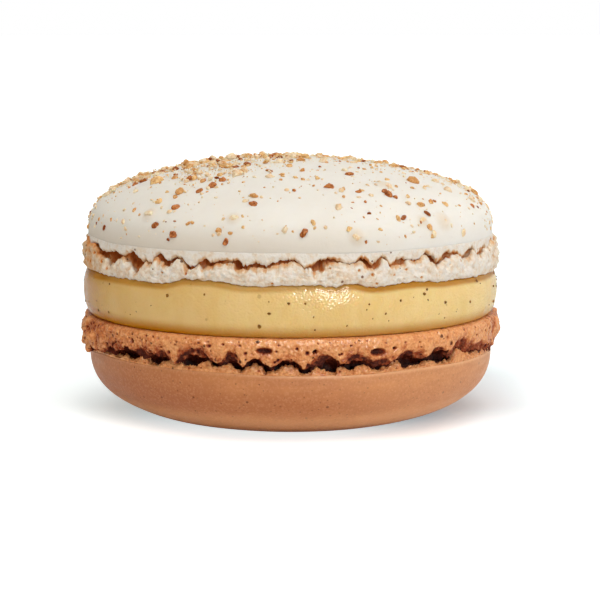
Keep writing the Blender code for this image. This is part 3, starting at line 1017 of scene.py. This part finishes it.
def makeLowerDome():
    # a rounded cup from a sharp lip down to its flat spot: f + r sin^(2/p) and h (1 - cos^(2/q))
    wide, flat = lowerDome["radius"], lowerDome["flat"]
    angles = ringAngles(lowerDome["steps"])
    line = waveLine(angles, lowerDome["lip"])
    lip = line.mean()
    turn = np.linspace(math.pi / 2, 0, 400)
    radius = flat + (wide - flat) * np.sin(turn) ** (2 / lowerDome["crownPower"])
    height = lip * (1 - np.cos(turn) ** (2 / lowerDome["sidePower"]))
    radius = np.append([21.72, 21.9, 21.98], radius)
    height = np.append([lip + 0.06, lip + 0.055, lip + 0.03], height)
    radius, height = evenProfile(radius, height, lowerDome["rows"])
    radius = np.concatenate([[0, 10, 18, 21], radius, [6, 3, 0]])
    height = np.concatenate([np.full(4, lip + 0.05), height, np.zeros(3)])
    points = polar(radius, angles, height)
    points[..., 2] *= line / lip
    lift = 0.03 * softNoise(points, 7, 161) + 0.012 * softNoise(points, 2.5, 163)
    lift *= ease(points[..., 2], 0, 1.2)
    lift[:, :4] = 0
    points = pushOut(points, lift, closed=False)
    x, height = points[..., 0], points[..., 2]
    # painted shade: a darker middle band, a darker left side and a dark line at the bottom where it meets the
    # floor
    paintedShade = 0.65 * ease(height, 6.6, 4.8) * ease(height, 2.6, 4.2) * (1 - 0.5 * ease(x, 4, 16))
    paintedShade += 0.7 * ease(x, -4, -17) - 0.45 * ease(x, -17.5, -21.5) + 0.9 * ease(height, 1.5, 0.5)
    # painted light: a highlight along the lip, a lighter right side and painted bounce light from the floor
    # low down
    pale = 0.7 * ease(height, line - 0.35, line - 0.05) * (0.4 + 0.6 * ease(x, -10, 4))
    pale += 0.28 * ease(x, 0, 14) + 0.5 * ease(height, 3.8, 2.2) * ease(height, 1, 1.8)
    return gridPiece("lowerDome", points, {"paintedShade": np.clip(paintedShade, 0, 1), "pale": pale}, closed=False)


studio = {
    "floorSize": 4000, "floor": (0.78, 0.78, 0.78, 1),
    "floorGlow": 0.36, "frontGlow": 0.36, "rightShade": 0.3, "floorBounce": 0.06,
    "floorTints": [(0.84, 1, 1.03, 1), (0.6, 1, 1.2, 1), (0.96, 1, 1, 1)],  # behind, on the right, in front
    "room": 0.42, "roomAbove": 0.14, "roomRight": 0.33,
    "roomTints": [(1, 0.9, 0.74, 1), (1, 1, 1.02, 1)],  # on the left, on the right
    "warm": (1, 0.98, 0.95), "cool": (0.92, 0.96, 1),
    # degrees round from the front to the right, degrees up, angular size, strength, tint, and whether it
    # shades the pieces as well as making glints on them
    "lights": {
        "keyLight": (4, 54, 42, 1.22, "warm", True), "topLight": (0, 84, 36, 0.3, "warm", True),
        "rimLight": (105, 16, 34, 0.2, "cool", True), "glintLight": (21, 24, 6, 5, "warm", False),
        "shoulderLight": (18, 72, 6, 7, "warm", False),
    },
}


def setStage():
    # a wide plain floor; to the camera alone it glows a little, so that it runs out into white; painted light
    # in front hides the shadow there, and less glow to the right paints a shadow there
    corners = studio["floorSize"] * np.array([(-1, -1, 0), (1, -1, 0), (1, 1, 0), (-1, 1, 0)])
    floor = addMesh("studioFloor", corners, [(0, 1, 2, 3)], {}, smooth=False)
    material = bpy.data.materials.new("paleFloor")
    material.use_nodes = True
    wires = Wires(material.node_tree)
    shader = wires.tree.nodes["Principled BSDF"]
    shader.inputs["Base Color"].default_value = studio["floor"]
    shader.inputs["Roughness"].default_value = 0.9
    seen = wires.add("LightPath").outputs["Is Camera Ray"]
    x, y, _ = wires.add("SeparateXYZ", {0: wires.add("TexCoord").outputs["Object"]}).outputs
    front = wires.spread(y, 4 * mm, -14 * mm)
    # painted shadow: less glow on the floor to the right
    right = wires.less(wires.spread(x, 2 * mm, 16 * mm), wires.spread(x, 22 * mm, 33 * mm))
    right = wires.times(right, wires.spread(y, 40 * mm, 20 * mm))
    glow = wires.plus(wires.times(front, studio["frontGlow"]), studio["floorGlow"])
    glow = wires.less(glow, wires.times(right, studio["rightShade"]))
    strength = wires.plus(wires.times(seen, glow), studio["floorBounce"])
    behindTint, rightTint, frontTint = studio["floorTints"]
    tint = wires.mix(front, wires.mix(right, behindTint, rightTint), frontTint)
    glow = wires.add("Emission", {"Color": tint, "Strength": strength})
    both = wires.add("AddShader", {0: shader.outputs[0], 1: glow.outputs[0]}).outputs[0]
    wires.plug(both, wires.tree.nodes["Material Output"].inputs["Surface"])
    floor.data.materials.append(material)


def setLight(name, azimuth, elevation, angle, strength, tint, shades):  # a soft sun
    lamp = bpy.data.lights.new(name, "SUN")
    lamp.energy, lamp.angle, lamp.color = strength, math.radians(angle), studio[tint]
    made = toScene(name, lamp)
    made.rotation_euler = (math.radians(90 - elevation), 0, math.radians(azimuth))
    made.visible_diffuse = shades


def setSky():
    # soft light from all round, brighter above and to the right and warmer to the left, and a white backdrop
    world = bpy.data.worlds.new("softRoom")
    bpy.context.scene.world = world
    world.use_nodes = True
    wires = Wires(world.node_tree)
    x, _, z = wires.add("SeparateXYZ", {0: wires.add("TexCoord").outputs["Generated"]}).outputs
    strength = wires.plus(studio["room"], wires.times(z, studio["roomAbove"]))
    strength = wires.plus(strength, wires.times(x, studio["roomRight"]))
    room = wires.tree.nodes["Background"]
    wires.plug(wires.mix(wires.spread(x, -0.9, 0.5), *studio["roomTints"]), room.inputs["Color"])
    wires.plug(strength, room.inputs["Strength"])
    backdrop = wires.add("Background", {"Color": (1, 1, 1, 1), "Strength": 1}).outputs[0]
    seen = wires.add("LightPath").outputs["Is Camera Ray"]
    both = wires.add("MixShader", {0: seen, 1: room.outputs[0], 2: backdrop}).outputs[0]
    wires.plug(both, wires.tree.nodes["World Output"].inputs["Surface"])


view = {"distance": 220, "height": 43.4, "lens": 121, "aim": (1.04, 0, 12.3)}


def setCamera():
    camera = bpy.data.cameras.new("camera")
    camera.lens, camera.sensor_width = view["lens"], 36
    made = toScene("camera", camera)
    across, ahead, rise = (np.array(view["aim"]) - (0, -view["distance"], view["height"])) * mm
    made.location = (0, -view["distance"] * mm, view["height"] * mm)
    tilt = math.pi / 2 + math.atan2(rise, math.hypot(across, ahead))
    made.rotation_euler = (tilt, 0, -math.atan2(across, ahead))
    bpy.context.scene.camera = made


setSky()
setStage()
for name, values in studio["lights"].items():
    setLight(name, *values)
setCamera()
bpy.context.scene.view_settings.view_transform = "Standard"
print("studio set")

creamFootLook, caramelFootLook = makeWhiteFoot(), makeCaramelFoot()
nutLooks = {key: makeNutLook(key + "Nut", *values[:3]) for key, values in nutCrumbs["shades"].items()}
nutLooks["dust"] = nutLooks["pale"]
print("materials made")

crumbs, buried = scatterNuts()
for key, piece in crumbs.items():
    finishPiece(piece, nutLooks[key])
finishPiece(makeUpperDome(buried), makeWhiteGlaze(), "top_shell")
finishPiece(makeUpperBand(), creamFootLook, "top_shell")
finishPiece(makeUpperFoot(), creamFootLook, "top_shell")
finishPiece(makeFilling(), makeCustard(), "filling")
seedLook = makeNutLook("vanillaSeed", vanillaSeeds["pale"], vanillaSeeds["deep"], 0)
finishPiece(scatterSeeds(), seedLook, "filling")
finishPiece(makeLowerFoot(), caramelFootLook, "bottom_shell")
finishPiece(makeLowerRim(), caramelFootLook, "bottom_shell")
finishPiece(makeLowerDome(), makeCaramelGlaze(), "bottom_shell")
